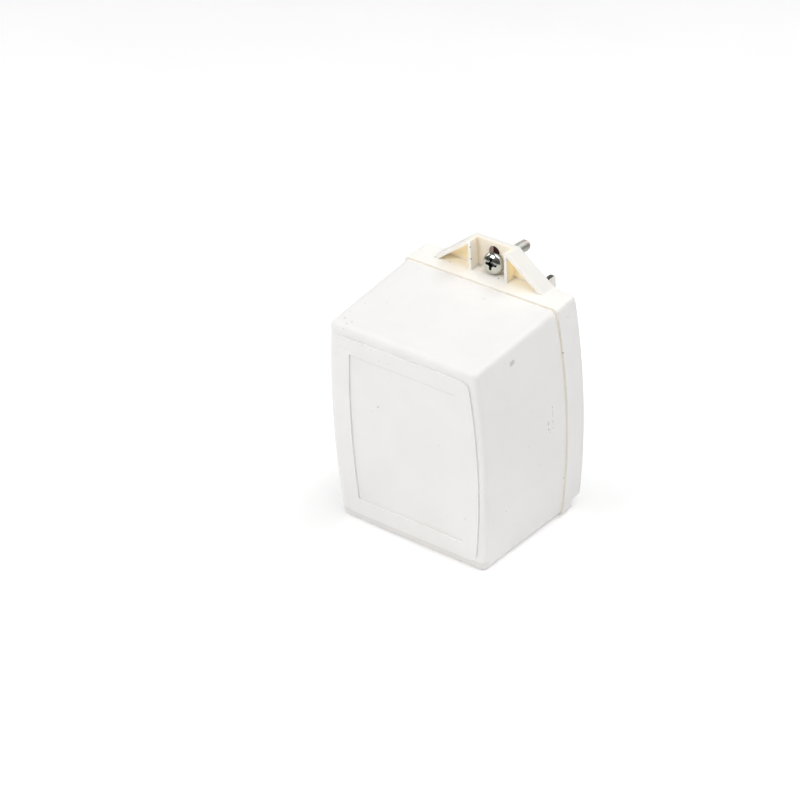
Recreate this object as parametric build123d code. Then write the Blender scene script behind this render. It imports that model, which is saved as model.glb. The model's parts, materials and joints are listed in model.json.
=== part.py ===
from build123d import *
import math
import os

# Plug-in transformer with a mounting tab, all sizes in millimetres.
# X runs across the front, Y runs towards the wall, Z is up.
# The origin lies on the wall face, midway between the two plug blades.

# Plug blades
blade_spacing = 12.7
blade_width = 6.35
blade_thickness = 1.5
blade_reach = 17.9
blade_tip_round = 1.6
blade_tip_bevel = 1.6
blade_tip_land = 0.7
blade_hole = 3.6
blade_hole_from_tip = 6.2
blade_shoulder_width = 9.2
blade_shoulder_length = 2.0
blade_tail_width = 4.2
blade_tail_length = 3.4
blade_slot_clearance = 0.05

# Front cover, a barrel outline that tapers towards the front
cover_height = 70.0
cover_width = 52.5
cover_bow = 2.8
cover_corner = 2.2
cover_depth = 36.7
cover_wall = 2.0
cover_above_blades = 11.7
height_draft = 1.55
width_draft = 0.8
front_bow = 1.85
front_corner = 1.9
front_rounding = 1.8

# Raised pad on the front and the sunk label field in it
pad_margin_side = 2.45
pad_margin_end = 3.2
pad_bow = 2.1
pad_corner = 2.4
pad_rise = 0.5
label_margin_side = 4.5
label_margin_end = 5.2
label_bow = 1.1
label_corner = 0.3
label_depth = 0.5

# Back base, with a lip that enters the cover
base_depth = 9.4
band_depth = 4.6
band_step = 0.5
band_edge = 0.4
base_corner = 1.9
base_wall = 2.0
base_floor = 2.2
rear_inset = 0.7
rear_side_inset = 0.25
rear_bow = 2.35
rear_corner = 2.2
rear_edge = 0.8
lip_reach = 3.0
lip_thickness = 1.2
lip_clearance = 0.15
lip_corner = 1.0
least_corner = 0.4
seam_groove_width = 0.25
seam_groove_depth = 0.3
blade_boss_height = 3.0
blade_boss_margin = 3.0

# Mounting tab on top of the base
tab_height = 9.4
tab_depth = 5.5
tab_top_width = 14.7
tab_foot_width = 38.6
tab_wall = 2.0
tab_roof = 1.1
tab_rib = 0.9
tab_bay_width = 11.6
tab_foot_blend = 1.6
slot_width = 3.7
slot_length = 7.05
slot_below_top = 4.725

# Captive mounting screw, hanging loose in the slot, with the fibre washer on its thinner neck
screw_diameter = 3.5
screw_neck_diameter = 2.8
screw_length = 19.0
screw_head_diameter = 6.5
screw_head_height = 2.1
screw_head_rim = 0.7
screw_point = 0.5
screw_droop = 12.6
screw_swing = 6.8
screw_head_gap = 0.12
screw_side_offset = 0.42
recess_arm_length = 3.9
recess_arm_width = 0.9
recess_depth = 1.3
washer_diameter = 9.5
washer_thickness = 0.8
washer_gap = 0.15
washer_slack = 0.6

# Output terminals in a notch under the base
terminal_spacing = 19.0
notch_height = 3.2
terminal_bay_width = 36.0
terminal_bay_depth = 8.0
terminal_shelf = 2.0
terminal_barrier = 1.4
terminal_plate_thickness = 0.8
terminal_plate_width = 8.0
terminal_plate_margin = 0.5
terminal_tail_width = 4.0
terminal_tail_height = 6.0
terminal_screw_diameter = 3.5
terminal_screw_length = 6.0
terminal_head_diameter = 6.0
terminal_head_height = 1.8
terminal_head_slot_width = 0.9
terminal_head_slot_depth = 1.1
terminal_screw_relief = 0.4

# Laminated core, drawn in units of the width of its outer legs
core_leg_width = 8.0
core_stack = 20.0
core_rest = 3.5
bracket_thickness = 0.8
bracket_crimp = 2.0
core_rib = 2.0
core_rib_lip_gap = 0.5
core_post = 5.0
core_post_inset = 3.5

# Bobbin and windings
bobbin_clearance = 0.2
bobbin_wall = 1.0
bobbin_flange = 1.0
bobbin_flange_gap = 0.1
bobbin_bore_corner = 0.2
bobbin_corner = 1.0
winding_build = 5.2
winding_corner = 2.0
tape_thickness = 0.4
flange_margin = 0.5
coil_rear_gap = 2.5

# Leads, thermal fuse and insulating sheet
lead_diameter = 1.3
lead_start_x = 2.5
fuse_diameter = 3.4
fuse_length = 8.0
fuse_offset = 0.3
fuse_edge = 0.3
fuse_lead_diameter = 0.8
fuse_lead_run = 1.2
sleeve_wall = 0.3
sheet_thickness = 0.4
sheet_width = 24.0
sheet_top_gap = 4.3

# Cuts run this far past the material they go through
overcut = 1.0

# Places that follow from the sizes
cover_top = cover_above_blades
cover_bottom = cover_top - cover_height
middle_z = cover_top - cover_height / 2
seam_y = -base_depth
front_y = seam_y - cover_depth
band_rear_y = seam_y + band_depth
floor_y = -base_floor
lip_front_y = seam_y - lip_reach
base_top = cover_top + band_step
base_bottom = cover_bottom - band_step
band_width = cover_width + 2 * band_step
band_height = cover_height + 2 * band_step
front_height = cover_height - 2 * height_draft
front_width = cover_width - 2 * width_draft
slot_z = base_top + tab_height - slot_below_top

blade_x = blade_spacing / 2
boss_y = floor_y - blade_boss_height
shoulder_y = boss_y - blade_shoulder_length
tail_y = shoulder_y - blade_tail_length
lead_y = (tail_y + shoulder_y) / 2
tail_bottom = -blade_tail_width / 2

tube_half_y = core_stack / 2 + bobbin_clearance + bobbin_wall
tube_half_z = core_leg_width + bobbin_clearance + bobbin_wall
winding_half_y = tube_half_y + winding_build
winding_half_z = tube_half_z + winding_build
tape_half_y = winding_half_y + tape_thickness
tape_half_z = winding_half_z + tape_thickness
flange_half_y = tape_half_y + flange_margin
flange_half_z = 2 * core_leg_width - flange_margin / 2
flange_x = 1.5 * core_leg_width - bobbin_flange_gap

core_width = 5 * core_leg_width
core_height = 6 * core_leg_width
core_y = floor_y - coil_rear_gap - flange_half_y
core_front_y = core_y - core_stack / 2
core_rear_y = core_y + core_stack / 2
core_bottom = cover_bottom + cover_wall + core_rest + bracket_thickness
core_z = core_bottom + core_height / 2
leg_offset = 2.5 * core_leg_width
coil_top = core_z + tape_half_z
coil_bottom = core_z - tape_half_z
flange_top = core_z + flange_half_z

notch_top = base_bottom + notch_height
bay_front_y = -terminal_bay_depth
terminal_x = terminal_spacing / 2
terminal_y = (bay_front_y + terminal_plate_margin) / 2
plate_bottom = notch_top - terminal_plate_thickness
tail_front_y = bay_front_y + terminal_plate_margin
tail_rear_y = tail_front_y + terminal_plate_thickness
tail_top = notch_top + terminal_tail_height


def barrel(width, height, bow, corner):
    """Outline with straight ends and bowed sides, drawn around its own centre."""
    half_width = width / 2
    half_height = height / 2
    outline = [
        Line((-half_width, half_height), (half_width, half_height)),
        ThreePointArc((half_width, half_height), (half_width + bow, 0), (half_width, -half_height)),
        Line((half_width, -half_height), (-half_width, -half_height)),
        ThreePointArc((-half_width, -half_height), (-half_width - bow, 0), (-half_width, half_height)),
    ]
    face = make_face(Curve() + outline)
    return fillet(face.vertices(), corner)


def at_depth(y, z=middle_z):
    """Upright drawing plane at a depth, seen from the front."""
    return Plane(origin=(0, y, z), x_dir=(1, 0, 0), z_dir=(0, -1, 0))


def across(x, y, z):
    """Upright drawing plane seen from the right, with local x towards the wall."""
    return Plane(origin=(x, y, z), x_dir=(0, 1, 0), z_dir=(1, 0, 0))


def block(x0, x1, y0, y1, z0, z1):
    """Box between two corners."""
    centre = ((x0 + x1) / 2, (y0 + y1) / 2, (z0 + z1) / 2)
    return Pos(*centre) * Box(abs(x1 - x0), abs(y1 - y0), abs(z1 - z0))


def rod(x, z, y0, y1, diameter):
    """Round bar along Y between two depths."""
    return Pos(x, (y0 + y1) / 2, z) * Rot(90, 0, 0) * Cylinder(diameter / 2, abs(y1 - y0))


def slab(outline, y0, y1):
    """Outline extruded between two depths."""
    return extrude(at_depth(max(y0, y1)) * outline, abs(y1 - y0))


def tapered(width0, height0, bow0, corner0, y0, width1, height1, bow1, corner1, y1):
    """Barrel body that tapers from depth y0 to depth y1."""
    back = at_depth(y0) * barrel(width0, height0, bow0, corner0)
    front = at_depth(y1) * barrel(width1, height1, bow1, corner1)
    return loft([back, front])


def edges_at(shape, y):
    """Edges that lie wholly at one depth."""
    found = []
    for edge in shape.edges():
        box = edge.bounding_box()
        if abs(box.min.Y - y) < 0.01 and abs(box.max.Y - y) < 0.01:
            found.append(edge)
    return found


# Front cover


def cover_outer():
    body = tapered(cover_width, cover_height, cover_bow, cover_corner, seam_y,
                   front_width, front_height, front_bow, front_corner, front_y)
    return fillet(edges_at(body, front_y), front_rounding)


def cover_cavity():
    walls = 2 * cover_wall
    return tapered(cover_width - walls, cover_height - walls, cover_bow, least_corner, seam_y,
                   front_width - walls, front_height - walls, front_bow, least_corner,
                   front_y + cover_wall)


def pad_outline():
    return barrel(front_width - 2 * pad_margin_side, front_height - 2 * pad_margin_end, pad_bow, pad_corner)


def label_outline():
    width = front_width - 2 * (pad_margin_side + label_margin_side)
    height = front_height - 2 * (pad_margin_end + label_margin_end)
    return barrel(width, height, label_bow, label_corner)


def core_ribs():
    """Ribs inside the cover that the core is clamped against and stands on."""
    half_rib = core_rib / 2
    half_width = core_width / 2 - core_rib
    bracket_side = core_width / 2 + bracket_thickness
    far_side = cover_width / 2 + cover_bow
    rear_y = min(core_rear_y, lip_front_y - core_rib_lip_gap)
    ribs = []
    for side in (-1, 1):
        z = core_z + side * leg_offset
        ribs.append(block(-half_width, half_width, front_y + cover_wall / 2, core_front_y,
                          z - half_rib, z + half_rib))
        x = side * (core_width / 2 - 2 * core_rib)
        ribs.append(block(x - half_rib, x + half_rib, core_front_y, rear_y,
                          cover_bottom, core_bottom - bracket_thickness))
        ribs.append(block(side * bracket_side, side * far_side, core_front_y, rear_y,
                          core_z - half_rib, core_z + half_rib))
    return ribs


def seam_groove():
    """Shadow line around the cover's rim, just in front of the base."""
    groove_y = seam_y - seam_groove_width
    beyond = 2 * overcut
    inset = 2 * seam_groove_depth
    outside = barrel(cover_width + beyond, cover_height + beyond, cover_bow, cover_corner)
    inside = barrel(cover_width - inset, cover_height - inset, cover_bow, cover_corner - seam_groove_depth)
    return slab(outside, seam_y, groove_y) - slab(inside, seam_y, groove_y)


def front_cover():
    outer = cover_outer()
    cover = outer - cover_cavity()
    for rib in core_ribs():
        cover += rib & outer
    pad_y = front_y - pad_rise
    cover += slab(pad_outline(), pad_y, front_y + cover_wall / 2)
    cover -= slab(label_outline(), pad_y - overcut, pad_y + label_depth)
    return cover - seam_groove()


# Back base


def base_outer():
    """Band and rear section as one solid body."""
    band = slab(barrel(band_width, band_height, cover_bow, base_corner), seam_y, band_rear_y)
    band = fillet(edges_at(band, seam_y) + edges_at(band, band_rear_y), band_edge)
    rear_height = band_height - rear_inset
    rear_outline = barrel(band_width - 2 * rear_side_inset, rear_height, rear_bow, rear_corner)
    rear = slab(rear_outline, band_rear_y - band_edge, 0)
    rear = fillet(edges_at(rear, 0), rear_edge)
    return band + Pos(0, 0, (band_height - rear_height) / 2) * rear


def base_cavity():
    walls = 2 * base_wall
    outline = barrel(cover_width - walls, cover_height - walls, cover_bow, least_corner)
    return slab(outline, seam_y, floor_y)


def base_lip():
    inset = 2 * (cover_wall + lip_clearance)
    inset_inside = inset + 2 * lip_thickness
    root_y = seam_y + band_depth / 2
    outside = barrel(cover_width - inset, cover_height - inset, cover_bow, lip_corner)
    inside = barrel(cover_width - inset_inside, cover_height - inset_inside, cover_bow, least_corner)
    return slab(outside, lip_front_y, root_y) - slab(inside, lip_front_y, root_y)


def blade_slot(x):
    gap = 2 * blade_slot_clearance
    return Pos(x, 0, 0) * Box(blade_thickness + gap, 3 * base_depth, blade_width + gap)


def notch_walls():
    """Walls that close the housing over the notch and around the terminal bay."""
    half = terminal_bay_width / 2 + terminal_shelf
    top = notch_top + terminal_shelf
    around_bay = block(-half, half, seam_y, 0, base_bottom, top)
    over_notch = block(-band_width, band_width, band_rear_y - base_wall, 0, base_bottom, top)
    return around_bay + over_notch


def terminal_bay():
    """Notch across the back of the base and the deeper bay for the terminals."""
    half = terminal_bay_width / 2
    below = base_bottom - overcut
    notch = block(-band_width, band_width, band_rear_y, overcut, below, notch_top)
    return notch + block(-half, half, bay_front_y, overcut, below, notch_top)


def bay_barrier():
    half = terminal_barrier / 2
    return block(-half, half, bay_front_y, -rear_edge, base_bottom + band_edge, notch_top)


def terminal_hole(x):
    """Clearance for a terminal screw, also where its end passes the back wall."""
    radius = terminal_screw_diameter / 2 + terminal_screw_relief
    return Pos(x, terminal_y, notch_top) * Cylinder(radius, 2 * terminal_screw_length)


def tail_slot(x):
    """Slit that the plate's tail comes up through."""
    half = terminal_tail_width / 2
    return block(x - half, x + half, tail_front_y, tail_rear_y,
                 notch_top - overcut, notch_top + terminal_shelf + overcut)


def tab_solid():
    half_foot = tab_foot_width / 2
    half_top = tab_top_width / 2
    end = half_foot + tab_foot_blend
    root = -base_wall / 2
    profile = make_face(Polyline([
        (-end, 0), (-half_foot, 0), (-half_top, tab_height), (half_top, tab_height),
        (half_foot, 0), (end, 0), (end, root), (-end, root), (-end, 0)]))
    feet = [v for v in profile.vertices() if abs(abs(v.X) - half_foot) < 0.01]
    profile = fillet(feet, tab_foot_blend)
    return extrude(at_depth(0, base_top) * profile, tab_depth)


def tab_pocket(side):
    """Cored pocket between a rib, the sloping roof and the wall."""
    half_foot = tab_foot_width / 2
    half_top = tab_top_width / 2
    slope = math.atan2(tab_height, half_foot - half_top)
    inner_foot = half_foot - tab_roof / math.sin(slope)
    rib_face = tab_bay_width / 2 + tab_rib
    pocket_height = (inner_foot - rib_face) * math.tan(slope)
    profile = make_face(Polyline([
        (side * rib_face, 0), (side * rib_face, pocket_height),
        (side * inner_foot, 0), (side * rib_face, 0)]))
    return extrude(at_depth(-tab_wall, base_top) * profile, tab_depth)


def mounting_tab():
    tab = tab_solid()
    for side in (-1, 1):
        tab -= tab_pocket(side)
    half_bay = tab_bay_width / 2
    return tab - block(-half_bay, half_bay, -tab_depth - overcut, -tab_wall,
                       base_top, base_top + tab_height + overcut)


def screw_slot():
    outline = Rot(0, 0, 90) * SlotOverall(slot_length, slot_width)
    return extrude(at_depth(overcut, slot_z) * outline, tab_depth + 2 * overcut)


def core_posts():
    """Posts on the base's floor that clamp the core from behind."""
    posts = []
    for x in (-1, 1):
        for z in (-1, 1):
            posts.append(rod(x * (core_width / 2 - core_post_inset), core_z + z * leg_offset,
                             floor_y, core_rear_y, core_post))
    return posts


def blade_boss():
    half = blade_x + blade_thickness / 2 + blade_boss_margin
    half_height = blade_width / 2 + blade_boss_margin
    return block(-half, half, boss_y, floor_y, -half_height, half_height)


def back_base():
    outer = base_outer()
    base = outer - base_cavity()
    base += base_lip()
    base += notch_walls() & outer
    base -= terminal_bay()
    base += bay_barrier()
    base += mounting_tab()
    base -= screw_slot()
    base += blade_boss()
    for post in core_posts():
        base += post
    for side in (-1, 1):
        base -= blade_slot(side * blade_x)
        base -= terminal_hole(side * terminal_x)
        base -= tail_slot(side * terminal_x)
    return base


# Plug blades


def plug_blade(x):
    half = blade_width / 2
    shoulder = blade_shoulder_width / 2
    tail = blade_tail_width / 2
    profile = make_face(Polyline([
        (tail_y, -tail), (shoulder_y, -tail), (shoulder_y, -shoulder), (boss_y, -shoulder),
        (boss_y, -half), (blade_reach, -half), (blade_reach, half), (boss_y, half),
        (boss_y, shoulder), (shoulder_y, shoulder), (shoulder_y, tail), (tail_y, tail),
        (tail_y, -tail)]))
    tips = [v for v in profile.vertices() if v.X > blade_reach - 0.01]
    profile = fillet(tips, blade_tip_round)
    blade = extrude(across(x - blade_thickness / 2, 0, 0) * profile, blade_thickness)
    hole_y = blade_reach - blade_hole_from_tip
    blade -= Pos(x, hole_y, 0) * Rot(0, 90, 0) * Cylinder(blade_hole / 2, 2 * blade_thickness)
    for side in (-1, 1):
        blade -= tip_bevel(x, side)
    return blade


def tip_bevel(x, side):
    """Wedge that thins one face of a blade's tip."""
    outer = x + side * blade_thickness / 2
    land = x + side * blade_tip_land / 2
    wedge = make_face(Polyline([
        (outer, blade_reach - blade_tip_bevel), (outer, blade_reach + overcut),
        (land, blade_reach + overcut), (land, blade_reach),
        (outer, blade_reach - blade_tip_bevel)]))
    return extrude(Pos(0, 0, -blade_width) * wedge, 2 * blade_width)


# Mounting screw and washer, drawn along +Y from the underside of the head


def pan_head_screw(head_radius, height, rim, length, shank_radius):
    """Turned pan head screw along the Y axis, head towards -Y."""
    crown = height - rim
    midway = math.sqrt(0.5)
    outline = [
        Line((0, length), (shank_radius - screw_point, length)),
        Line((shank_radius - screw_point, length), (shank_radius, length - screw_point)),
        Line((shank_radius, length - screw_point), (shank_radius, 0)),
        Line((shank_radius, 0), (head_radius, 0)),
        Line((head_radius, 0), (head_radius, -rim)),
        ThreePointArc((head_radius, -rim), (head_radius * midway, -rim - crown * midway), (0, -height)),
        Line((0, -height), (0, length)),
    ]
    return revolve(make_face(Curve() + outline), Axis.Y)


def cross_recess():
    """Tapered cross cut into the crown of the mounting screw's head."""
    wide = Rectangle(recess_arm_length, recess_arm_width)
    narrow = Rectangle(recess_arm_length / 2, recess_arm_width / 2)
    arm = loft([at_depth(-screw_head_height - overcut, 0) * wide,
                at_depth(-screw_head_height + recess_depth, 0) * narrow])
    return arm + Rot(0, 90, 0) * arm


def screw_seat():
    """Place of the mounting screw: its head leans on the tab wall and its point hangs down."""
    lean = math.radians(screw_droop)
    head_y = -tab_wall - screw_head_gap - screw_head_diameter / 2 * math.sin(lean)
    through = (-tab_wall / 2 - head_y) * math.tan(lean)
    lowest = slot_z - slot_length / 2 + screw_neck_diameter / 2 / math.cos(lean)
    head_z = lowest + tab_wall / 2 * math.tan(lean) + through + screw_head_gap
    return Pos(screw_side_offset, head_y, head_z) * Rot(0, 0, screw_swing) * Rot(-screw_droop, 0, 0)


def washer_start():
    """Distance from the head to the washer, whose lower rim meets the back of the base."""
    lean = math.radians(screw_droop)
    rim = washer_diameter / 2 * math.sin(lean)
    reach = washer_gap + rim - screw_seat().position.Y
    return reach / (math.cos(lean) * math.cos(math.radians(screw_swing)))


def ring(outer, inner, start, length):
    """Round ring about the screw's axis, from a distance behind its head."""
    tube = Cylinder(outer / 2, length) - Cylinder(inner / 2, length)
    return Pos(0, start + length / 2, 0) * Rot(90, 0, 0) * tube


def mounting_screw():
    """The thread starts behind the washer, which is too narrow to pass over it."""
    screw = pan_head_screw(screw_head_diameter / 2, screw_head_height, screw_head_rim,
                           screw_length, screw_diameter / 2)
    neck_length = washer_start() + washer_thickness + washer_slack
    screw -= ring(screw_diameter + 2 * overcut, screw_neck_diameter, 0, neck_length)
    return screw_seat() * (screw - cross_recess())


def retaining_washer():
    return screw_seat() * ring(washer_diameter, screw_neck_diameter, washer_start(), washer_thickness)


# Output terminals


def terminal_plate(x):
    half = terminal_plate_width / 2
    half_tail = terminal_tail_width / 2
    plate = block(x - half, x + half, tail_front_y, -terminal_plate_margin, plate_bottom, notch_top)
    plate += block(x - half_tail, x + half_tail, tail_front_y, tail_rear_y, plate_bottom, tail_top)
    screw_hole = Cylinder(terminal_screw_diameter / 2, 2 * terminal_screw_length)
    return plate - Pos(x, terminal_y, notch_top) * screw_hole


def terminal_screw(x):
    screw = pan_head_screw(terminal_head_diameter / 2, terminal_head_height, screw_head_rim,
                           terminal_screw_length, terminal_screw_diameter / 2)
    half_slot = terminal_head_slot_width / 2
    crown_y = -terminal_head_height
    screw -= block(-terminal_head_diameter, terminal_head_diameter, crown_y - overcut,
                   crown_y + terminal_head_slot_depth, -half_slot, half_slot)
    return Pos(x, terminal_y, plate_bottom) * Rot(90, 0, 0) * screw


# Core, bracket and coil


def core_block(x0, x1, z0, z1):
    """Part of the lamination stack, in units of the outer leg from the core's centre."""
    return block(x0 * core_leg_width, x1 * core_leg_width, core_front_y, core_rear_y,
                 core_z + z0 * core_leg_width, core_z + z1 * core_leg_width)


def e_laminations():
    return core_block(-2.5, 1.5, -3, 3) - core_block(-1.5, 1.5, 1, 2) - core_block(-1.5, 1.5, -2, -1)


def i_laminations():
    return core_block(1.5, 2.5, -3, 3)


def core_bracket():
    """Band around the stack, open on the right where its ends are folded over."""
    half_x = core_width / 2
    half_z = core_height / 2
    t = bracket_thickness
    front = core_front_y - overcut
    rear = core_rear_y + overcut
    open_z = half_z - bracket_crimp
    band = block(-half_x - t, half_x + t, core_front_y, core_rear_y,
                 core_z - half_z - t, core_z + half_z + t)
    band -= block(-half_x, half_x, front, rear, core_z - half_z, core_z + half_z)
    return band - block(half_x - t, half_x + 2 * t, front, rear, core_z - open_z, core_z + open_z)


def rounded_tube(x0, x1, inner, outer):
    """Rectangular tube around the core's middle leg, each outline as half sizes and a corner."""
    outer_y, outer_z, outer_corner = outer
    inner_y, inner_z, inner_corner = inner
    section = RectangleRounded(2 * outer_y, 2 * outer_z, outer_corner)
    section -= RectangleRounded(2 * inner_y, 2 * inner_z, inner_corner)
    return extrude(across(x0, core_y, core_z) * section, x1 - x0)


def coil_span(side):
    """The coil's stretch of the bobbin, left for -1 and right for 1."""
    inside = bobbin_flange / 2
    outside = flange_x - bobbin_flange
    return sorted((side * inside, side * outside))


def bobbin():
    bore = (tube_half_y - bobbin_wall, tube_half_z - bobbin_wall, bobbin_bore_corner)
    frame = rounded_tube(-flange_x, flange_x, bore, (tube_half_y, tube_half_z, bobbin_corner))
    for x in (-flange_x, -bobbin_flange / 2, flange_x - bobbin_flange):
        frame += rounded_tube(x, x + bobbin_flange, bore, (flange_half_y, flange_half_z, winding_corner))
    return frame


def winding(side):
    x0, x1 = coil_span(side)
    return rounded_tube(x0, x1, (tube_half_y, tube_half_z, bobbin_corner),
                        (winding_half_y, winding_half_z, winding_corner))


def winding_tape(side):
    x0, x1 = coil_span(side)
    return rounded_tube(x0, x1, (winding_half_y, winding_half_z, winding_corner),
                        (tape_half_y, tape_half_z, winding_corner + tape_thickness))


# Leads, fuse and insulating sheet


def wire(points, diameter):
    """Round wire along straight runs, bent as tightly as its own diameter."""
    path = FilletPolyline(points, radius=diameter) if len(points) > 2 else Line(points)
    start = Plane(origin=path @ 0, z_dir=path % 0)
    return sweep(start * Circle(diameter / 2), path=path)


def primary_lead():
    """From the coil straight up to the tail of the left blade."""
    return wire([(-blade_x, lead_y, coil_top), (-blade_x, lead_y, tail_bottom)], lead_diameter)


def fuse_place():
    """The fuse lies across the flanges, in front of the base."""
    return Pos(fuse_offset, lead_y, flange_top + fuse_diameter / 2 + sleeve_wall) * Rot(0, 90, 0)


def thermal_fuse():
    """From the coil through the fuse to the tail of the right blade."""
    can = Cylinder(fuse_diameter / 2, fuse_length)
    can = fuse_place() * chamfer(can.edges(), fuse_edge)
    z = fuse_place().position.Z
    right = fuse_offset + fuse_length / 2
    left = fuse_offset - fuse_length / 2
    turn = left - fuse_lead_run
    up = [(right, lead_y, z), (blade_x, lead_y, z), (blade_x, lead_y, tail_bottom)]
    down = [(left, lead_y, z), (turn, lead_y, z), (turn, lead_y, coil_top)]
    return can + wire(up, fuse_lead_diameter) + wire(down, fuse_lead_diameter)


def fuse_sleeve():
    ring = Cylinder(fuse_diameter / 2 + sleeve_wall, fuse_length)
    ring -= Cylinder(fuse_diameter / 2, 2 * fuse_length)
    return fuse_place() * ring


def secondary_lead(side):
    """From the bottom of the coil down to the tail of one terminal plate."""
    y = (tail_front_y + tail_rear_y) / 2
    if side > 0:
        return wire([(terminal_x, y, coil_bottom), (terminal_x, y, tail_top)], lead_diameter)
    turn_z = (coil_bottom + tail_top) / 2
    return wire([(lead_start_x, y, coil_bottom), (lead_start_x, y, turn_z),
                 (-terminal_x, y, turn_z), (-terminal_x, y, tail_top)], lead_diameter)


def insulating_sheet():
    half = sheet_width / 2
    lip_inside = cover_top - cover_wall - lip_clearance - lip_thickness
    return block(-half, half, core_rear_y, core_rear_y + sheet_thickness,
                 core_z + 2 * core_leg_width, lip_inside - sheet_top_gap)


def parts():
    yield "front_cover", front_cover()
    yield "back_base", back_base()
    yield "mounting_screw", mounting_screw()
    yield "retaining_washer", retaining_washer()
    for name, side in (("left", -1), ("right", 1)):
        yield "plug_blade_" + name, plug_blade(side * blade_x)
        yield "terminal_plate_" + name, terminal_plate(side * terminal_x)
        yield "terminal_screw_" + name, terminal_screw(side * terminal_x)
        yield "secondary_lead_" + name, secondary_lead(side)
    yield "e_laminations", e_laminations()
    yield "i_laminations", i_laminations()
    yield "core_bracket", core_bracket()
    yield "bobbin", bobbin()
    yield "primary_winding", winding(-1)
    yield "secondary_winding", winding(1)
    yield "primary_tape", winding_tape(-1)
    yield "secondary_tape", winding_tape(1)
    yield "primary_lead", primary_lead()
    yield "thermal_fuse", thermal_fuse()
    yield "fuse_sleeve", fuse_sleeve()
    yield "insulating_sheet", insulating_sheet()


os.makedirs("parts", exist_ok=True)
for node, solid in parts():
    export_step(solid, "parts/" + node + ".step")
    print(node, len(solid.solids()), round(solid.volume, 1))
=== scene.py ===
import json
import math

import bmesh
import bpy
from mathutils import Matrix, Vector


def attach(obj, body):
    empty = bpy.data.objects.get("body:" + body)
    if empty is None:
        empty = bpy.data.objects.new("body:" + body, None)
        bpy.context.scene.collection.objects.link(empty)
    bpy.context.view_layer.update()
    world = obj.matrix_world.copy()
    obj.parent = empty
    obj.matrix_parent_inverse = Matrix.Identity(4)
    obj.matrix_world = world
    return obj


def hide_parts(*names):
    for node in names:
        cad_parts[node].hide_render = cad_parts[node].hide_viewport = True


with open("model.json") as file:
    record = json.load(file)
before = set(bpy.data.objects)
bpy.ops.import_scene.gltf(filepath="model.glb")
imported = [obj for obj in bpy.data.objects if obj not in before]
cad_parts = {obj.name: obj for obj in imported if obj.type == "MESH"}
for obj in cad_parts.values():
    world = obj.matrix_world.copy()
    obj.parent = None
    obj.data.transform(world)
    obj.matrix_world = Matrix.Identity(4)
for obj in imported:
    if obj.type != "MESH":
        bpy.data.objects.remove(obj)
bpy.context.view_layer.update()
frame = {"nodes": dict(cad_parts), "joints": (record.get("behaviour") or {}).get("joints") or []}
MM = 0.001

# Camera, as fitted to the photograph: angles in degrees, the rest in millimetres
AZIMUTH, ELEVATION, ROLL = 39.47, 34.09, -3.41
AIM = Vector((0, -31.84, -23.3))
AIM_RIGHT, AIM_UP, AIM_DISTANCE = 10.55, -6.74, 864.83
FOCAL_LENGTH, SENSOR_WIDTH = 137.09, 36.0

# Housing sizes that the materials and the floor follow, in millimetres and degrees
SEAM_Y, SEAM_GROOVE, BAND_BOTTOM, LEAN = -9.4, 0.25, -58.8, 3.25
TAB_FRONT, TAB_WALL_FACE, TAB_FOOT, TAB_TOP = -5.5, -2.0, 12.2, 21.6
TAB_FOOT_HALF, TAB_TOP_HALF, BAY_HALF, SLOT_HALF, SLOT_TOP = 19.3, 7.35, 5.8, 1.85, 20.4
FRONT_Y, PAD_Y, PAD_FOOT = -46.1, -46.6, -53.55
LABEL_TOP, LABEL_FOOT, LABEL_HALF = 1.75, -48.35, 18.4

# Ivory plastic: the clouded base colour, then each place's tint or painted light and shade with its share,
# and how strongly painted light glows there
IVORY_DARK, IVORY_LIGHT = (0.855, 0.842, 0.828), (0.870, 0.858, 0.846)
TINTS_AND_PAINTED_LIGHT = {
    # The tab is creamier plastic; ledge and rim: painted light; bay and pocket: painted warm light; slot:
    # painted pink reflection; seam: painted warm shade
    "ledge": (1.0, (0.945, 0.925, 0.875)),
    "tab": (1.0, (0.865, 0.845, 0.805)),
    "rim": (1.0, (0.95, 0.93, 0.88)),
    "bay": (0.9, (0.90, 0.82, 0.70)),
    "pocket": (1.0, (0.92, 0.80, 0.55)),
    "slot": (1.0, (0.88, 0.71, 0.62)),
    "seam": (0.7, (0.88, 0.84, 0.76)),
}
# Painted shade for the label's top lip and the pad's foot, then the colour of the real marks and dust
EDGE_SHADE, MARK_COLOUR = (0.87, 0.86, 0.85), (0.10, 0.095, 0.09)
# Painted light: its colour, and how strongly it glows in the pockets, bay, rim, on the label's bottom lip
# and in the seam's groove
GLOW_COLOUR = (1.0, 0.84, 0.55)
GLOWS = {"pocket": 0.16, "bay": 0.075, "rim": 0.03, "lip": 0.07, "groove": 0.32}

# Light that sinks into the plastic: its share in thick walls, the gain in the thin tab, and its
# reach in metres with the colours that get furthest
SOFT_SHARE, THIN_GAIN = 0.10, 0.30
SOFT_REACH, SOFT_COLOURS = 0.0012, (1.0, 0.95, 0.85)

# Mounting screw, in millimetres from the underside of its head
HEAD_RADIUS, HEAD_HEIGHT, HEAD_RIM, HEAD_SOFTNESS = 3.25, 2.1, 0.7, 0.16
CROWN_ROUND, CROWN_SWELL = 0.85, 1.1
HEAD_STEPS, SOFT_STEPS, CROWN_STEPS = 64, 4, 24
SHANK_STEPS, RINGS_PER_TURN = 48, 12
NECK_RADIUS, THREAD_START, SCREW_LENGTH = 1.4, 5.55, 19.0
THREAD_RADIUS, THREAD_ROOT, THREAD_PITCH = 1.75, 1.36, 0.794
FLANK_SLOPE, ROOT_WIDTH, LEAD_IN = 2.6, 0.15, 1.5
POINT_LENGTH, POINT_RADIUS, POINT_SPREAD = 0.7, 1.26, 0.5

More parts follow.
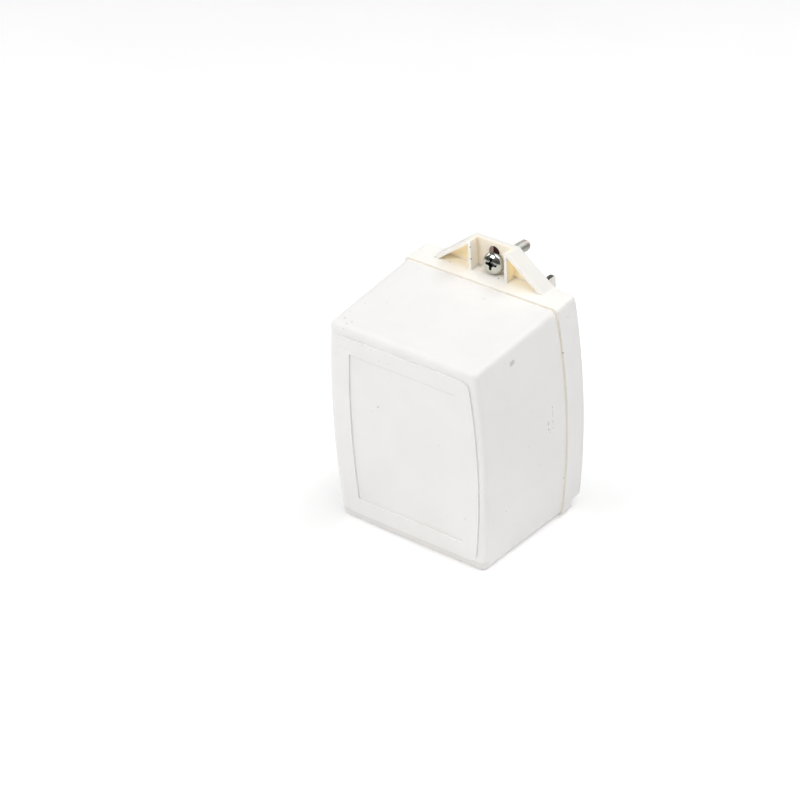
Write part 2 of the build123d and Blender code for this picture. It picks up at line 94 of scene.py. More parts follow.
# Cross recess: its arms at the top, their share of that at the bottom, and the hollow in the middle
RECESS_REACH, RECESS_WIDTH, RECESS_DEPTH, RECESS_TURN = 2.15, 0.95, 1.6, 4.0
REACH_SHARE, WIDTH_SHARE, RECESS_CENTRE, CENTRE_FOOT = 0.42, 0.6, 0.8, 0.25
RECESS_OVERCUT, SHARP_ANGLE = 0.3, 32

# Painted shade on the screw's plating: the neck and its end, the thread's roots, then the rim of the head
# beyond a share of its radius, and the recess from a least depth on, darker with each millimetre
NECK_SHADE, NECK_END_SHADE, ROOT_SHADE = 0.3, 0.4, 0.35
RIM_SHARE, RIM_SHADE = 0.93, 0.35
LEAST_SUNK, RECESS_SHADE, RECESS_GAIN, DARKEST = 0.06, 0.5, 0.4, 0.85

# Floor: size and drop below the housing in metres, its weak glow and its two tones
FLOOR_SIZE, FLOOR_DROP, FLOOR_GLOW = 6, 0.00002, 0.16
PAPER_DARK, PAPER_LIGHT = (0.93, 0.93, 0.93), (0.95, 0.95, 0.95)

# Soft lights: name, azimuth, elevation, distance in metres, size in metres, power in watts; then the
# point they face, and the surroundings, which turn from dark to light between two heights
LIGHTS = [
    ("top", 85, 72, 0.85, 0.92, 3.9),
    ("key", -20, 40, 0.9, 0.35, 2.95),
    ("side", 110, 25, 0.9, 0.4, 0.78),
    ("back", 160, 50, 0.9, 0.4, 2.15),
    ("left", -80, 30, 0.9, 0.4, 1.7),
]
LIT_POINT = Vector((0, -0.025, -0.02))
WORLD_LOW, WORLD_HIGH, WORLD_STRENGTH = (0.16, 0.16, 0.16), (1.0, 1.0, 1.0), 0.165
RISE_FROM, RISE_TO = 0.05, 0.75

# Marks on the housing, each with its place, radius and strength
MARKS = {
    "round mark on the right side": [
        ((26.5, -30.2, 6.3), 0.90, 0.32), ((26.5, -30.9, 6.2), 0.95, 0.32)],
    "scuffs beside the seam": [
        ((28.7, -15.5, -16.2), 0.28, 0.46), ((28.7, -15.5, -17.3), 0.24, 0.34),
        ((28.7, -15.5, -18.2), 0.28, 0.42), ((28.7, -15.5, -19.1), 0.26, 0.36),
        ((28.8, -15.5, -20.9), 0.28, 0.46), ((28.8, -15.5, -21.9), 0.24, 0.34),
        ((28.8, -15.5, -23.1), 0.26, 0.36), ((28.7, -17.6, -20.2), 0.30, 0.60),
        ((28.7, -17.6, -20.8), 0.30, 0.60), ((28.7, -17.5, -22.6), 0.32, 0.55),
        ((28.7, -16.8, -23.3), 0.24, 0.36), ((28.7, -16.9, -24.0), 0.24, 0.36)],
    "specks on the top": [
        ((-22.4, -42.6, 10.3), 0.45, 0.22), ((-19.5, -43.1, 10.3), 0.50, 0.16),
        ((-20.2, -44.5, 10.1), 0.40, 0.25), ((-23.0, -39.5, 10.4), 0.45, 0.12),
        ((-22.1, -33.8, 10.7), 0.40, 0.12), ((-16.8, -30.6, 10.8), 0.40, 0.10),
        ((5.5, -14.8, 11.5), 0.90, 0.07)],
    "specks on the label field": [
        ((-9.5, -46.1, -13.0), 0.36, 0.40), ((-11.8, -46.1, -15.2), 0.32, 0.10),
        ((11.7, -46.1, -18.1), 0.40, 0.08)],
    "specks on the pad": [
        ((-13.4, -46.6, 6.7), 0.35, 0.12), ((-7.7, -46.6, 3.4), 0.35, 0.12),
        ((-4.5, -46.6, 3.6), 0.40, 0.08), ((-10.3, -46.6, 6.1), 0.35, 0.08),
        ((-21.5, -46.6, 3.4), 0.35, 0.08), ((-23.2, -46.6, 0.2), 0.35, 0.08),
        ((20.0, -46.6, -39.6), 0.60, 0.10)],
    "specks on the base and the tab": [
        ((3.2, -4.8, 12.2), 0.34, 0.75), ((-13.6, -5.1, 12.2), 0.34, 0.35),
        ((-5.9, -5.5, 19.9), 0.32, 0.60), ((-5.8, -5.4, 16.0), 0.32, 0.70)],
    "specks on the seam and the right side": [
        ((28.3, -9.3, -1.4), 0.34, 0.50), ((28.0, -10.1, -44.1), 0.34, 0.50),
        ((27.4, -5.2, 8.0), 0.36, 0.25), ((27.4, -36.9, -39.9), 0.40, 0.20),
        ((28.4, -21.3, -32.8), 0.32, 0.20), ((28.3, -26.7, -23.4), 0.32, 0.16)],
}


# Node helpers


def node(tree, kind, inputs=None, **settings):
    made = tree.nodes.new(kind)
    for name, value in settings.items():
        setattr(made, name, value)
    for name, value in (inputs or {}).items():
        socket = made.inputs[name]
        if isinstance(value, bpy.types.NodeSocket):
            tree.links.new(value, socket)
        else:
            socket.default_value = value
    return made


def maths(tree, operation, a, b=0.0, clamp=False):
    return node(tree, "ShaderNodeMath", {0: a, 1: b}, operation=operation, use_clamp=clamp).outputs[0]


def product(tree, first, *others):
    for other in others:
        first = maths(tree, "MULTIPLY", first, other)
    return first


def ramp(tree, value, low, high, start=0.0, end=1.0):
    """Smooth step from start to end as the value goes from low to high."""
    inputs = {"Value": value, "From Min": low, "From Max": high, "To Min": start, "To Max": end}
    return node(tree, "ShaderNodeMapRange", inputs, interpolation_type="SMOOTHSTEP").outputs["Result"]


def band(tree, value, rise_from, rise_to, fall_from, fall_to):
    """Smooth step up, then smooth step down again."""
    return product(tree, ramp(tree, value, rise_from, rise_to), ramp(tree, value, fall_from, fall_to, 1, 0))


def mix(tree, factor, a, b):
    """Colour between a and b."""
    made = node(tree, "ShaderNodeMix", data_type="RGBA")
    for index, value in ((0, factor), (6, a), (7, b)):
        if isinstance(value, bpy.types.NodeSocket):
            tree.links.new(value, made.inputs[index])
        else:
            made.inputs[index].default_value = value
    return made.outputs[2]


def noise(tree, place, scale, detail):
    made = node(tree, "ShaderNodeTexNoise", {"Vector": place, "Scale": scale, "Detail": detail})
    return made.outputs["Fac"]


def scaled(tree, vector, factors):
    """Vector or colour with each of its values multiplied by its own factor."""
    return node(tree, "ShaderNodeVectorMath", {0: vector, 1: factors}, operation="MULTIPLY").outputs[0]


def rgb(r, g, b):
    return (r, g, b, 1.0)


def new_material(name):
    """Empty material with its shader, and object coordinates in millimetres."""
    material = bpy.data.materials.new(name)
    material.use_nodes = True
    tree = material.node_tree
    shader = tree.nodes["Principled BSDF"]
    coords = node(tree, "ShaderNodeTexCoord").outputs["Object"]
    return material, tree, shader, scaled(tree, coords, (1 / MM, 1 / MM, 1 / MM))


def split(tree, place):
    return node(tree, "ShaderNodeSeparateXYZ", {0: place}).outputs


def bumped(tree, shader, height, distance, strength, edge=0.0):
    """Surface relief in metres, on edges softened by a small radius."""
    inputs = {"Height": height, "Distance": distance, "Strength": strength}
    if edge:
        inputs["Normal"] = node(tree, "ShaderNodeBevel", {"Radius": edge}, samples=6).outputs[0]
    bump = node(tree, "ShaderNodeBump", inputs)
    tree.links.new(bump.outputs[0], shader.inputs["Normal"])


# Materials


def tab_masks(tree, x, y, z):
    """Shares of the base's top and of the tab's outside, front rim, bay, side pockets and slot walls, where
    the tab's creamier plastic and the painted light go.
    """
    across = maths(tree, "ABSOLUTE", x)
    rise = TAB_TOP - TAB_FOOT
    run = TAB_FOOT_HALF - TAB_TOP_HALF
    slope = maths(tree, "ADD", product(tree, across, rise), product(tree, z, run))
    limit = TAB_FOOT_HALF * rise + TAB_FOOT * run
    under_slope = ramp(tree, slope, limit - 9.0, limit - 6.5, 1, 0)
    depth = band(tree, y, TAB_FRONT + 0.02, TAB_FRONT + 1.8, TAB_WALL_FACE + 0.4, TAB_WALL_FACE + 0.6)
    inside = product(tree, depth, under_slope, ramp(tree, z, TAB_FOOT - 0.1, TAB_FOOT - 0.02),
                     ramp(tree, z, TAB_FOOT, TAB_FOOT + 1.6, 0.18, 1.0))
    pocket = product(tree, inside, ramp(tree, across, BAY_HALF + 0.2, BAY_HALF + 0.6))
    above = ramp(tree, z, TAB_FOOT + 0.05, TAB_FOOT + 0.4)
    top = product(tree, ramp(tree, z, TAB_FOOT - 1.0, TAB_FOOT - 0.2), ramp(tree, y, SEAM_Y, SEAM_Y + 0.1))
    return {
        "ledge": maths(tree, "SUBTRACT", top, above, clamp=True),
        "tab": product(tree, above, ramp(tree, y, TAB_FRONT - 1.0, TAB_FRONT - 0.5)),
        "rim": product(tree, above, ramp(tree, y, TAB_FRONT + 0.05, TAB_FRONT + 0.15, 1, 0)),
        "bay": maths(tree, "SUBTRACT", inside, pocket),
        "pocket": pocket,
        "slot": product(tree, above, band(tree, y, TAB_WALL_FACE + 0.02, TAB_WALL_FACE + 0.1, -0.1, -0.02),
                        ramp(tree, across, SLOT_HALF + 0.05, SLOT_HALF + 0.15, 1, 0),
                        ramp(tree, z, SLOT_TOP - 0.4, SLOT_TOP - 0.1, 1, 0))}


def seam_masks(tree, y):
    """Shares of the seam's soft edges, painted with warm shade, and of its groove, painted with light."""
    foot = SEAM_Y - SEAM_GROOVE
    return {
        "seam": band(tree, y, SEAM_Y - 0.50, SEAM_Y - 0.24, SEAM_Y + 0.01, SEAM_Y + 0.25),
        "groove": band(tree, y, foot - 0.03, foot + 0.03, SEAM_Y - 0.03, SEAM_Y)}


def front_masks(tree, x, y, z):
    """Painted shadow under the label field's top lip, painted light on its bottom lip, and painted shade at
    the pad's foot.
    """
    within = ramp(tree, maths(tree, "ABSOLUTE", x), LABEL_HALF - 0.3, LABEL_HALF, 1, 0)
    floor = band(tree, y, FRONT_Y - 0.06, FRONT_Y - 0.03, FRONT_Y + 0.03, FRONT_Y + 0.06)
    upper = band(tree, z, LABEL_TOP - 0.95, LABEL_TOP - 0.65, LABEL_TOP, LABEL_TOP + 0.1)
    wall = band(tree, y, PAD_Y + 0.02, PAD_Y + 0.06, FRONT_Y - 0.1, FRONT_Y)
    lower = band(tree, z, LABEL_FOOT - 0.2, LABEL_FOOT - 0.1, LABEL_FOOT + 0.1, LABEL_FOOT + 0.2)
    return {
        "line": product(tree, upper, floor, within, 0.6),
        "lip": product(tree, wall, lower, within),
        "shade_under_pad": product(tree, ramp(tree, z, PAD_FOOT - 0.1, PAD_FOOT, 0.75, 0),
                       ramp(tree, y, FRONT_Y + 1.7, FRONT_Y + 3.1, 1, 0))}


def mark_mask(tree, place):
    """Strength of the darkest mark or speck of dust at a point."""
    darkest = ramp(tree, noise(tree, place, scale=1.15, detail=2), 0.735, 0.80, 0, 0.30)
    for marks in MARKS.values():
        for centre, radius, strength in marks:
            away = node(tree, "ShaderNodeVectorMath", {0: place, 1: centre}, operation="DISTANCE")
            mark = ramp(tree, away.outputs["Value"], radius * 0.45, radius * 1.15, strength, 0)
            darkest = maths(tree, "MAXIMUM", mark, darkest)
    return darkest


def housing_plastic():
    """Ivory plastic with a creamier tab, painted light, bounce light and shade by its place, painted shade
    at the label's top lip and the pad's foot, small marks, and painted light glowing in its hollows.
    """
    material, tree, shader, place = new_material("housing_ivory")
    x, y, z = split(tree, place)
    masks = {**tab_masks(tree, x, y, z), **seam_masks(tree, y), **front_masks(tree, x, y, z)}
    cloud = ramp(tree, noise(tree, place, scale=0.09, detail=3), 0.35, 0.65)
    colour = mix(tree, cloud, rgb(*IVORY_DARK), rgb(*IVORY_LIGHT))
    # The tab's creamier plastic, then painted light, bounce light and shade on the ledge, rim, bay, pockets,
    # slot and seam
    for name, (share, tint) in TINTS_AND_PAINTED_LIGHT.items():
        colour = mix(tree, product(tree, masks[name], share), colour, rgb(*tint))
    # Painted shade under the label's top lip and at the pad's foot
    edge = maths(tree, "MAXIMUM", masks["line"], masks["shade_under_pad"])
    colour = mix(tree, edge, colour, scaled(tree, colour, EDGE_SHADE))
    colour = mix(tree, mark_mask(tree, place), colour, rgb(*MARK_COLOUR))
    tree.links.new(colour, shader.inputs["Base Color"])
    sheen = ramp(tree, noise(tree, place, scale=0.5, detail=3), 0.3, 0.7, 0.42, 0.52)
    tree.links.new(sheen, shader.inputs["Roughness"])
    thin = product(tree, ramp(tree, z, TAB_FOOT - 0.3, TAB_FOOT + 0.4),
                   ramp(tree, y, TAB_FRONT - 1.5, TAB_FRONT - 0.5), THIN_GAIN)
    tree.links.new(maths(tree, "ADD", thin, SOFT_SHARE), shader.inputs["Subsurface Weight"])
    shader.inputs["Subsurface Radius"].default_value = SOFT_COLOURS
    shader.inputs["Subsurface Scale"].default_value = SOFT_REACH
    # Painted light: glow in the pockets, bay and rim, on the label's bottom lip and in the seam's groove
    glow = 0.0
    for name, strength in GLOWS.items():
        glow = maths(tree, "ADD", product(tree, masks[name], strength), glow)
    tree.links.new(glow, shader.inputs["Emission Strength"])
    shader.inputs["Emission Color"].default_value = rgb(*GLOW_COLOUR)
    bumped(tree, shader, noise(tree, place, scale=3.0, detail=3), distance=0.00002, strength=0.12)
    return material


def plated_metal(name, light, dark, roughness, stain=0.25, grain=(1, 1, 1)):
    """Plated metal with faint staining and fine marks along one direction."""
    material, tree, shader, place = new_material(name)
    along = scaled(tree, place, grain)
    patches = ramp(tree, noise(tree, along, scale=0.5, detail=3), 0.40, 0.72, 0, stain)
    tree.links.new(mix(tree, patches, light, dark), shader.inputs["Base Color"])
    marks = noise(tree, along, scale=2.5, detail=4)
    sheen = ramp(tree, marks, 0.3, 0.7, roughness * 0.85, roughness * 1.2)
    tree.links.new(sheen, shader.inputs["Roughness"])
    shader.inputs["Metallic"].default_value = 1.0
    bumped(tree, shader, marks, distance=0.00001, strength=0.2, edge=0.0001)
    return material


def washer_fibre():
    material, tree, shader, place = new_material("washer_fibre")
    threads = noise(tree, scaled(tree, place, (6, 1.5, 2)), scale=1.6, detail=5)
    dark, light = rgb(0.060, 0.010, 0.012), rgb(0.125, 0.022, 0.026)
    tree.links.new(mix(tree, ramp(tree, threads, 0.3, 0.7), dark, light), shader.inputs["Base Color"])
    shader.inputs["Roughness"].default_value = 0.55
    bumped(tree, shader, threads, distance=0.00004, strength=0.5, edge=0.00012)
    return material


def striped(name, first, second, direction, pitch, roughness, metallic=0.0):
    """Material with fine lines across one direction, for stacked sheets, wire and tape."""
    material, tree, shader, place = new_material(name)
    inputs = {"Vector": place, "Scale": 0.314 / pitch, "Distortion": 0.25, "Detail": 2.0}
    wave = node(tree, "ShaderNodeTexWave", inputs, wave_type="BANDS", bands_direction=direction)
    lines = wave.outputs["Fac"]
    cloud = ramp(tree, noise(tree, place, scale=0.3, detail=3), 0.35, 0.7, 0, 0.35)
    colour = mix(tree, cloud, mix(tree, lines, first, second), first)
    tree.links.new(colour, shader.inputs["Base Color"])
    shader.inputs["Roughness"].default_value = roughness
    shader.inputs["Metallic"].default_value = metallic
    bumped(tree, shader, lines, distance=0.00006, strength=0.6)
    return material


def mottled(name, first, second, scale, roughness, coat=0.0):
    """Plain moulded or pressed material with a slight mottle."""
    material, tree, shader, place = new_material(name)
    grain = noise(tree, place, scale, detail=4)
    tree.links.new(mix(tree, ramp(tree, grain, 0.3, 0.7), first, second), shader.inputs["Base Color"])
    shader.inputs["Roughness"].default_value = roughness
    shader.inputs["Coat Weight"].default_value = coat
    bumped(tree, shader, grain, distance=0.00003, strength=0.4)
    return material


def screw_plating():
    """Bright zinc plating, with painted shade in the cross recess, the thread's roots, the neck and the
    head's rim, and a painted reddish reflection at the point.
    """
    material, tree, shader, place = new_material("screw_plating")
    y = split(tree, place)[1]
    shade = node(tree, "ShaderNodeAttribute", attribute_name="shade", attribute_type="GEOMETRY")
    patches = ramp(tree, noise(tree, place, scale=1.1, detail=4), 0.42, 0.70, 0, 0.35)
    colour = mix(tree, patches, rgb(0.64, 0.65, 0.60), rgb(0.50, 0.51, 0.43))
    # Painted reddish reflection towards the point
    colour = mix(tree, ramp(tree, y, 12.6, 14.2, 0, 0.5), colour, rgb(0.62, 0.48, 0.46))
    # Painted shade, from the shade values stored on the head's faces and the shank's points
    colour = mix(tree, shade.outputs["Fac"], colour, rgb(0.09, 0.09, 0.09))
    tree.links.new(colour, shader.inputs["Base Color"])
    shader.inputs["Metallic"].default_value = 1.0
    fine = noise(tree, place, scale=5.0, detail=3)
    head_sheen = ramp(tree, fine, 0.3, 0.7, 0.13, 0.22)
    shank_sheen = ramp(tree, y, -1.5, 1.0, 0, 0.22)
    tree.links.new(maths(tree, "ADD", head_sheen, shank_sheen), shader.inputs["Roughness"])
    bumped(tree, shader, fine, distance=0.00001, strength=0.2, edge=0.00006)
    return material


# Mounting screw


def placed(axes, origin):
    """Matrix with the three given directions as its axes."""
    place = Matrix.Translation(origin)
    for column, axis in enumerate(axes):
        for row in range(3):
            place[row][column] = axis[row]
    return place


def screw_place():
    """The screw's own axes: Y along its shank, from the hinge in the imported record."""
    joint = next(j for j in frame["joints"] if j["child"] == "mounting_screw")
    along = Vector(joint["axis"]).normalized()
    side = along.cross(Vector((0, 0, 1))).normalized()
    return placed((side, along, side.cross(along)), Vector(joint["pos_m"]))


def around(radius, y, turn):
    """Point at a radius from the Y axis in millimetres, a share of one turn round it."""
    angle = 2 * math.pi * turn
    return radius * math.cos(angle) * MM, y * MM, radius * math.sin(angle) * MM


def finished(bm, name, smooth=True):
    """Mesh made from the faces, with its normals outwards."""
    bmesh.ops.recalc_face_normals(bm, faces=bm.faces)
    mesh = bpy.data.meshes.new(name)
    bm.to_mesh(mesh)
    bm.free()
    for polygon in mesh.polygons:
        polygon.use_smooth = smooth
    return mesh


def joined(bm, a, b):
    """Faces between two rings of points, where a ring of one point is the end of a cone."""
    steps = max(len(a), len(b))
    for k in range(steps):
        n = (k + 1) % steps
        if len(a) == 1:
            bm.faces.new((a[0], b[n], b[k]))
        elif len(b) == 1:
            bm.faces.new((a[k], a[n], b[0]))
        else:
            bm.faces.new((a[k], a[n], b[n], b[k]))


def turned(profile, steps, name):
    """Surface turned about the Y axis from a list of (radius, y) in millimetres."""
    bm = bmesh.new()
    rings = []
    for radius, y in profile:
        count = 1 if radius < 1e-6 else steps
        rings.append([bm.verts.new(around(radius, y, k / steps)) for k in range(count)])
    for a, b in zip(rings, rings[1:]):
        joined(bm, a, b)
    return finished(bm, name)


def head_profile():
    """Pan head from the underside at the neck, round the rim and up to the crown."""
    soft = HEAD_SOFTNESS
    points = [(NECK_RADIUS, 0.0), (HEAD_RADIUS - soft, 0.0)]
    for k in range(1, SOFT_STEPS + 1):
        angle = math.radians(90 * k / SOFT_STEPS)
        points.append((HEAD_RADIUS - soft + soft * math.sin(angle), -soft + soft * math.cos(angle)))
    crown = HEAD_HEIGHT - HEAD_RIM
    for k in range(CROWN_STEPS + 1):
        angle = math.radians(90 * k / CROWN_STEPS)
        points.append((HEAD_RADIUS * math.cos(angle) ** CROWN_ROUND,
                       -HEAD_RIM - crown * math.sin(angle) ** CROWN_SWELL))
    points[-1] = (0.0, -HEAD_HEIGHT)
    return points


def recess_cutter(turn, wide, narrow):
    """Tapered wedge for one part of the cross recess, from its size at the top to that below."""
    bm = bmesh.new()
    rows = []
    top, bottom = -HEAD_HEIGHT - RECESS_OVERCUT, -HEAD_HEIGHT + RECESS_DEPTH
    for y, (reach, width) in ((top, wide), (bottom, narrow)):
        corners = ((-reach, -width / 2), (reach, -width / 2), (reach, width / 2), (-reach, width / 2))
        rows.append([bm.verts.new((x * MM, y * MM, z * MM)) for x, z in corners])
    bm.faces.new(rows[0])
    bm.faces.new(rows[1][::-1])
    joined(bm, *rows)
    cutter = bpy.data.objects.new("recess_cutter", finished(bm, "recess_cutter", smooth=False))
    bpy.context.scene.collection.objects.link(cutter)
    cutter.rotation_euler = (0, math.radians(turn), 0)
    return cutter


def thread_at(y, turn):
    """Radius and painted shade of the thread at a distance along the shank and a share of one turn."""
    phase = (y / THREAD_PITCH - turn) % 1.0
    rise = max(0.0, min(1.0, (0.5 - abs(phase - 0.5)) * FLANK_SLOPE - ROOT_WIDTH))
    radius = THREAD_ROOT + (THREAD_RADIUS - THREAD_ROOT) * rise
    start = THREAD_ROOT + (y - THREAD_START) * LEAD_IN
    end = POINT_RADIUS + (SCREW_LENGTH - y) / POINT_LENGTH * POINT_SPREAD
    return min(radius, start, end), ROOT_SHADE * (1 - rise)


def threaded_shank():
    """Shank with a helical thread, from the neck to a blunt point."""
    steps = SHANK_STEPS
    rings = [(0.0, [(NECK_RADIUS, NECK_SHADE)] * steps)]
    rings.append((THREAD_START, [(NECK_RADIUS, NECK_END_SHADE)] * steps))
    count = int((SCREW_LENGTH - THREAD_START) / THREAD_PITCH * RINGS_PER_TURN)
    for step in range(count + 1):
        y = THREAD_START + (SCREW_LENGTH - THREAD_START) * step / count
        rings.append((y, [thread_at(y, k / steps) for k in range(steps)]))
    bm = bmesh.new()
    shade = bm.verts.layers.float.new("shade")
    rows = []
    for y, points in rings:
        row = []
        for k, (radius, dark) in enumerate(points):
            vert = bm.verts.new(around(radius, y, k / steps))
            vert[shade] = dark
            row.append(vert)
        rows.append(row)
    for a, b in zip(rows, rows[1:]):
        joined(bm, a, b)
    bm.faces.new(rows[-1])
    return finished(bm, "screw_thread")


def add_object(name, mesh, material, place):
    made = bpy.data.objects.new(name, mesh)
    bpy.context.scene.collection.objects.link(made)
    mesh.materials.append(material)
    mesh.transform(place)
    return made


def shade_head(mesh):
    """Stores the painted shade of each face of the head: the walls of its recess and its rim."""
    layer = mesh.attributes.new("shade", "FLOAT", "FACE")
    for polygon in mesh.polygons:
        x, y, z = (v / MM for v in polygon.center)
        share = min(1.0, math.hypot(x, z) / HEAD_RADIUS)
        rise = math.sqrt(1 - share ** (2 / CROWN_ROUND))
        sunk = y + HEAD_RIM + (HEAD_HEIGHT - HEAD_RIM) * rise ** CROWN_SWELL
        if y < -HEAD_RIM / 2 and sunk > LEAST_SUNK:
            layer.data[polygon.index].value = min(DARKEST, RECESS_SHADE + RECESS_GAIN * sunk)
        elif share > RIM_SHARE:
            layer.data[polygon.index].value = RIM_SHADE


def cut_head(mesh):
    """The head with its cross recess."""
    head = bpy.data.objects.new("screw_head", mesh)
    bpy.context.scene.collection.objects.link(head)
    arms = (RECESS_REACH, RECESS_WIDTH), (RECESS_REACH * REACH_SHARE, RECESS_WIDTH * WIDTH_SHARE)
    middle = (RECESS_CENTRE, RECESS_CENTRE * 2), (CENTRE_FOOT, CENTRE_FOOT * 2)
    cutters = [
        recess_cutter(RECESS_TURN, *arms),
        recess_cutter(RECESS_TURN + 90, *arms),
        recess_cutter(RECESS_TURN, *middle)]
    for cutter in cutters:
        cut = head.modifiers.new("recess", "BOOLEAN")
        cut.operation = "DIFFERENCE"
        cut.solver = "EXACT"
        cut.object = cutter
    bpy.context.view_layer.update()
    evaluated = head.evaluated_get(bpy.context.evaluated_depsgraph_get())
    result = bpy.data.meshes.new_from_object(evaluated)
    for made in [head, *cutters]:
        bpy.data.objects.remove(made)
    shade_head(result)
    result.set_sharp_from_angle(angle=math.radians(SHARP_ANGLE))
    return result


def build_screw(material):
    place = screw_place()
    blank = turned(head_profile(), HEAD_STEPS, "screw_head")
    head = add_object("screw_head_detail", cut_head(blank), material, place)
    shank = add_object("screw_shank_detail", threaded_shank(), material, place)
    for piece in (head, shank):
        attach(piece, "mounting_screw")
    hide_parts("mounting_screw")


# Stage, lights and camera


def build_floor():
    """Pale floor that the lower edges of the band and the cover both stand on."""
    bpy.ops.mesh.primitive_plane_add(size=FLOOR_SIZE)
    floor = bpy.context.object
    floor.name = "floor"
    floor.location = (0, SEAM_Y * MM, BAND_BOTTOM * MM - FLOOR_DROP)
    floor.rotation_euler = (-math.radians(LEAN), 0, 0)
    material, tree, shader, place = new_material("floor_paper")
    cloud = ramp(tree, noise(tree, place, scale=0.02, detail=3), 0.3, 0.7)
    paper = mix(tree, cloud, rgb(*PAPER_DARK), rgb(*PAPER_LIGHT))
    tree.links.new(paper, shader.inputs["Base Color"])
    shader.inputs["Roughness"].default_value = 0.9
    shader.inputs["Emission Color"].default_value = rgb(1.0, 1.0, 1.0)
    shader.inputs["Emission Strength"].default_value = FLOOR_GLOW
    floor.data.materials.append(material)


def area_light(name, azimuth, elevation, distance, size, power):
    """Round soft light at a compass angle (0 from the front, 90 from the right) and a height angle."""
    turn, rise = math.radians(azimuth), math.radians(elevation)
    away = Vector((math.sin(turn) * math.cos(rise), -math.cos(turn) * math.cos(rise), math.sin(rise)))
    data = bpy.data.lights.new(name, "AREA")
    data.shape = "DISK"
    data.size = size
    data.energy = power
    light = bpy.data.objects.new(name, data)
    bpy.context.scene.collection.objects.link(light)
    light.location = LIT_POINT + away * distance
    light.rotation_euler = away.to_track_quat("Z", "Y").to_euler()


def build_world():
    """Even studio light from all round, with a darker band low down that the metal parts mirror."""
    world = bpy.data.worlds.new("studio")
    bpy.context.scene.world = world
    world.use_nodes = True
    tree = world.node_tree
    background = tree.nodes["Background"]
    direction = node(tree, "ShaderNodeTexCoord").outputs["Generated"]
    height = split(tree, direction)[2]
    sky = mix(tree, ramp(tree, height, RISE_FROM, RISE_TO), rgb(*WORLD_LOW), rgb(*WORLD_HIGH))
    tree.links.new(sky, background.inputs["Color"])
    background.inputs["Strength"].default_value = WORLD_STRENGTH


def build_light():
    build_world()
    for light in LIGHTS:
        area_light(*light)


def build_camera():
    azimuth, elevation, roll = (math.radians(v) for v in (AZIMUTH, ELEVATION, ROLL))
    back = Vector((math.sin(azimuth) * math.cos(elevation), -math.cos(azimuth) * math.cos(elevation),
                   math.sin(elevation)))
    level = Vector((0, 0, 1)).cross(back).normalized()
    upright = back.cross(level)
    right = level * math.cos(roll) + upright * math.sin(roll)
    up = upright * math.cos(roll) - level * math.sin(roll)
    centre = (AIM - AIM_RIGHT * right - AIM_UP * up + AIM_DISTANCE * back) * MM
    data = bpy.data.cameras.new("camera")
    data.sensor_width = SENSOR_WIDTH
    data.lens = FOCAL_LENGTH
    data.clip_start = 0.01
    camera = bpy.data.objects.new("camera", data)
    bpy.context.scene.collection.objects.link(camera)
    camera.matrix_world = placed((right, up, back), centre)
    bpy.context.scene.camera = camera


# What each part is made of


def metals():
    """Bare metal of the blades, terminals, bracket and fuse."""
    return {
        "blades": plated_metal("blade_nickel", rgb(0.70, 0.68, 0.64), rgb(0.46, 0.38, 0.30),
                               roughness=0.26, stain=0.4, grain=(1, 0.15, 1)),
        "contacts": plated_metal("terminal_nickel", rgb(0.72, 0.69, 0.60), rgb(0.50, 0.44, 0.32),
                                 roughness=0.30),
        "bracket": plated_metal("bracket_zinc", rgb(0.60, 0.61, 0.62), rgb(0.44, 0.45, 0.46),
                                roughness=0.38, stain=0.8),
        "can": plated_metal("fuse_can", rgb(0.66, 0.66, 0.66), rgb(0.48, 0.47, 0.45),
                            roughness=0.30, stain=0.5)}


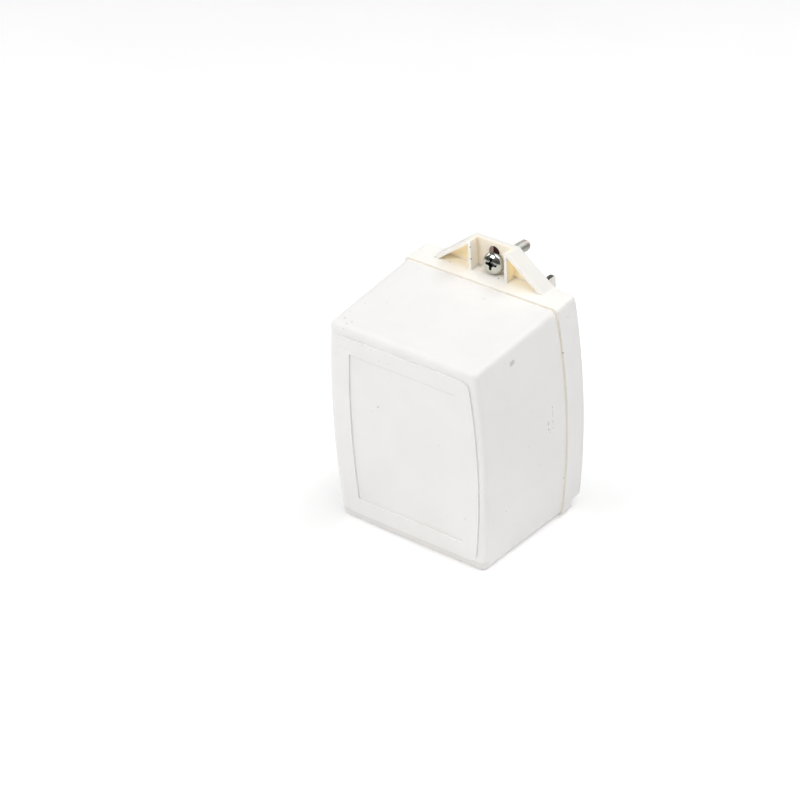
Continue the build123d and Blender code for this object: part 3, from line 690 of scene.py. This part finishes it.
def coil_materials():
    """Stacked sheets, wound wire and tape, all with fine lines."""
    return {
        "sheets": striped("lamination_edges", rgb(0.10, 0.10, 0.11), rgb(0.26, 0.26, 0.27),
                          direction="Y", pitch=0.5, roughness=0.45, metallic=0.8),
        "copper": striped("copper_turns", rgb(0.30, 0.10, 0.035), rgb(0.62, 0.25, 0.10),
                          direction="X", pitch=0.35, roughness=0.30, metallic=0.9),
        "tape": striped("coil_tape", rgb(0.70, 0.46, 0.07), rgb(0.76, 0.52, 0.10),
                        direction="X", pitch=5.2, roughness=0.30)}


def insulation():
    """Bobbin, leads, board and sleeve."""
    return {
        "nylon": mottled("bobbin_nylon", rgb(0.030, 0.030, 0.032), rgb(0.045, 0.045, 0.048),
                         scale=2.0, roughness=0.45),
        "leads": mottled("lead_insulation", rgb(0.60, 0.54, 0.38), rgb(0.66, 0.60, 0.44),
                         scale=1.5, roughness=0.35, coat=0.3),
        "board": mottled("pressed_board", rgb(0.40, 0.29, 0.16), rgb(0.50, 0.38, 0.22),
                         scale=3.0, roughness=0.8),
        "sleeve": mottled("shrink_sleeve", rgb(0.62, 0.62, 0.58), rgb(0.70, 0.70, 0.66),
                          scale=1.0, roughness=0.30, coat=0.4)}


def dress(plating):
    """Gives each CAD node its material."""
    made = {"ivory": housing_plastic(), "plating": plating, "fibre": washer_fibre()}
    made.update({**metals(), **coil_materials(), **insulation()})
    wearers = {
        "ivory": ("front_cover", "back_base"),
        "plating": ("mounting_screw",),
        "fibre": ("retaining_washer",),
        "blades": ("plug_blade_left", "plug_blade_right"),
        "contacts": ("terminal_plate_left", "terminal_plate_right",
                     "terminal_screw_left", "terminal_screw_right"),
        "leads": ("secondary_lead_left", "secondary_lead_right", "primary_lead"),
        "sheets": ("e_laminations", "i_laminations"),
        "bracket": ("core_bracket",),
        "nylon": ("bobbin",),
        "copper": ("primary_winding", "secondary_winding"),
        "tape": ("primary_tape", "secondary_tape"),
        "can": ("thermal_fuse",),
        "sleeve": ("fuse_sleeve",),
        "board": ("insulating_sheet",),
    }
    for material, names in wearers.items():
        for name in names:
            worn = frame["nodes"][name].data.materials
            worn.clear()
            worn.append(made[material])


def main():
    plating = screw_plating()
    dress(plating)
    build_screw(plating)
    build_floor()
    build_light()
    build_camera()
    bpy.context.scene.view_settings.view_transform = "Standard"


main()
